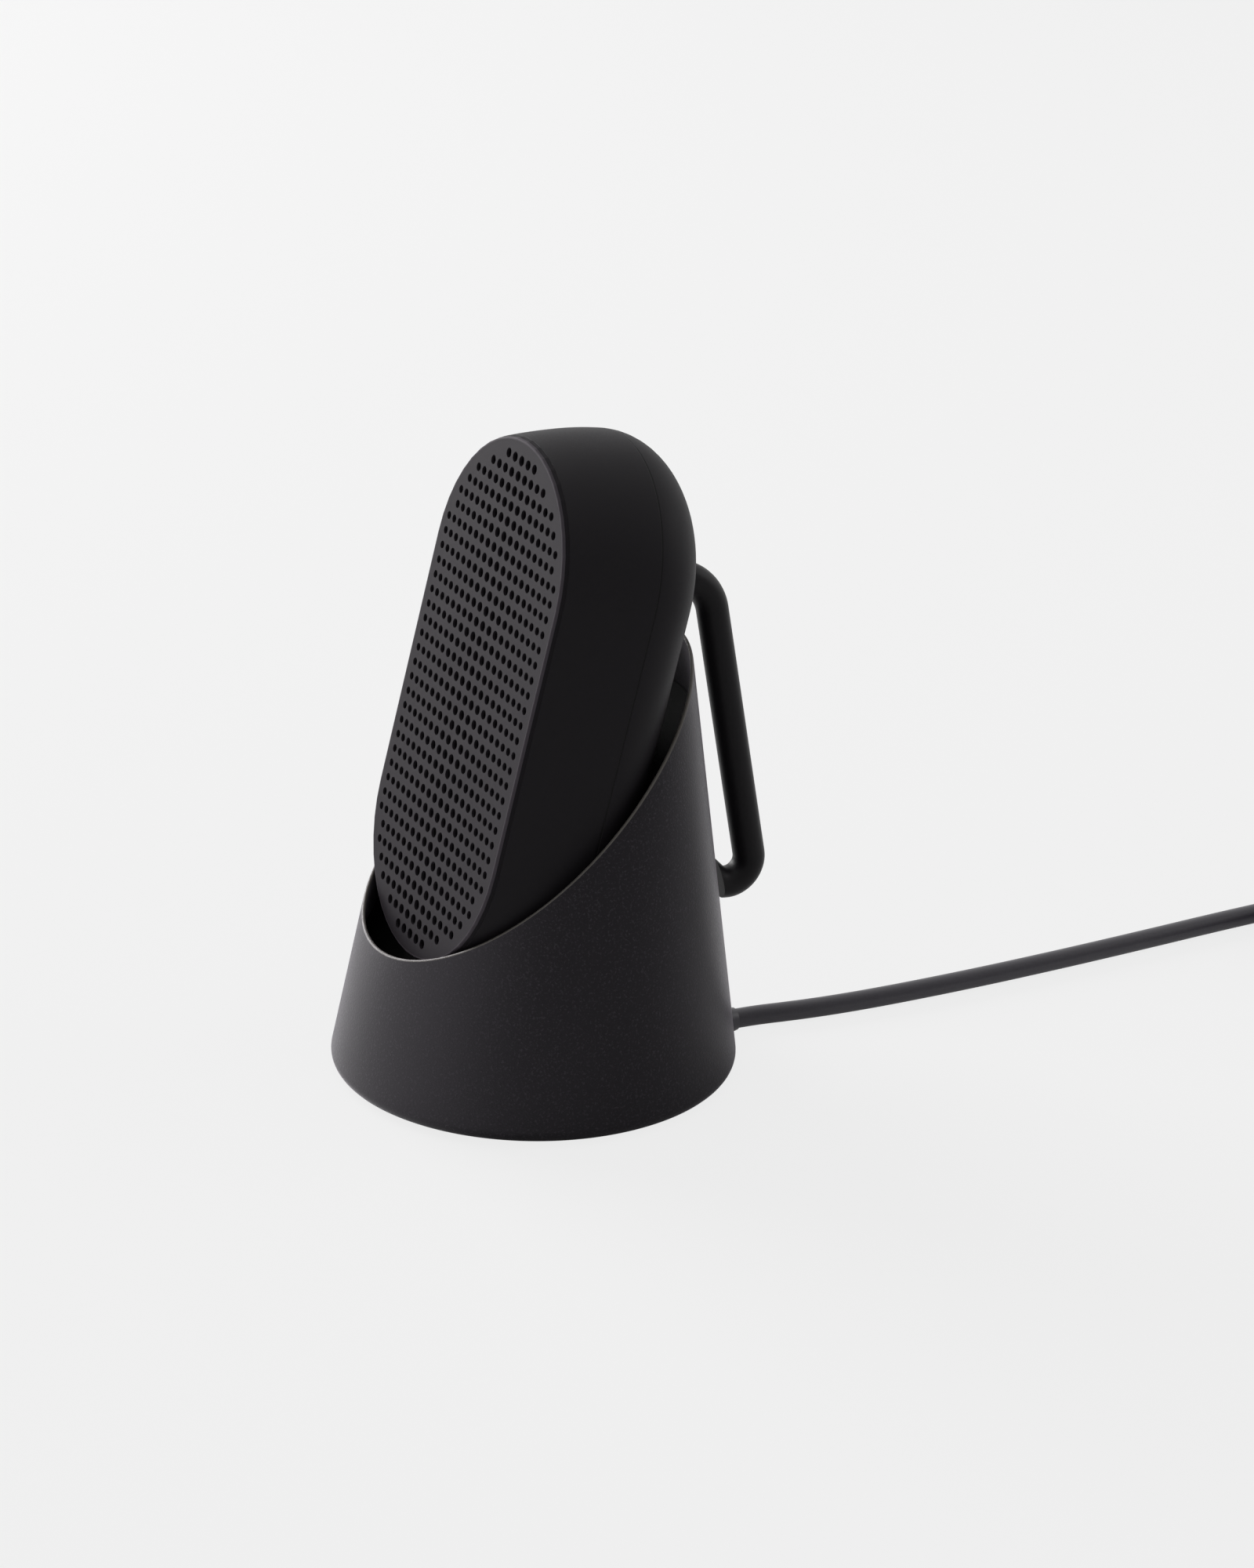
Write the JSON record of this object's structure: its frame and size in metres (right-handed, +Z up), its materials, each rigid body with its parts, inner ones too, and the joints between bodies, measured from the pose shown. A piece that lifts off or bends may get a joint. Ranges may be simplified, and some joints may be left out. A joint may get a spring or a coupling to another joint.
{
  "type": "bluetooth speaker",
  "caption": "Pill-shaped portable speaker with a perforated face and a rod hook, leaning in a tapered charging stand with a slanted rim and a cable.",
  "frame": {"origin": "centre of the stand's footprint, on the surface that the foot pad stands on", "axes": "+Z up, the speaker's face looks towards -Y, +X to the right side seen from the front"},
  "size_m": [0.0923, 0.2934, 0.1242],
  "materials": {
    "grille": "matte black",
    "cloth": "black acoustic cloth",
    "shell": "matte black",
    "seal": "matte",
    "inner_plastic": "matte",
    "cone": "satin",
    "soft_rubber": "matte",
    "copper": "lacquered copper wire",
    "spider_cloth": "impregnated cloth",
    "steel": "zinc plated",
    "magnet": "ferrite",
    "screw_steel": "plated",
    "battery_wrap": "shrink film",
    "board": "solder mask",
    "button_plastic": "matte black",
    "light_pipe": "milky",
    "hook_coat": "powder coated black",
    "contact_gold": "gold plated",
    "stand_coat": "fine textured black powder coat",
    "foot_rubber": "matte",
    "lead_rubber": "matte",
    "plug_plastic": "matte",
    "plug_steel": "plated",
    "plug_insert": "white"
  },
  "bodies": {
    "case": {"front_grille": "grille", "grille_cloth": "cloth", "body_shell": "shell", "rear_cover": "shell", "cover_seal": "seal", "baffle": "inner_plastic", "driver_basket": "inner_plastic", "driver_cone": "cone", "driver_surround": "soft_rubber", "dust_cap": "cone", "voice_coil": "copper", "spider": "spider_cloth", "top_plate": "steel", "driver_magnet": "magnet", "driver_yoke": "steel", "driver_screws": "screw_steel", "radiator_surround": "soft_rubber", "radiator_plate": "cone", "battery": "battery_wrap", "main_board": "board", "key_switch": "screw_steel", "status_light": "light_pipe", "housing_screws": "screw_steel", "board_screws": "screw_steel", "hook": "hook_coat", "hook_nut": "screw_steel", "contact_pads": "contact_gold", "stand_shell": "stand_coat", "cradle": "inner_plastic", "contact_springs": "contact_gold", "stand_board": "board", "ballast": "steel", "base_plate": "inner_plastic", "stand_screws": "screw_steel", "base_screws": "screw_steel", "foot_pad": "foot_rubber", "cable_gland": "lead_rubber", "charge_cable": "lead_rubber", "cable_coil": "lead_rubber", "plug_lead": "lead_rubber", "plug_body": "plug_plastic", "plug_shell": "plug_steel", "plug_tongue": "plug_insert"},
    "button": {"power_button": "button_plastic"}
  },
  "joints": [
    {"name": "button_press", "type": "slide", "parent": "case", "child": "button", "axis": [0, -0.9711, 0.2385], "range_m": [0, 0.0006], "stiffness_N_per_m": 600, "springref_m": -0.0005}
  ]
}
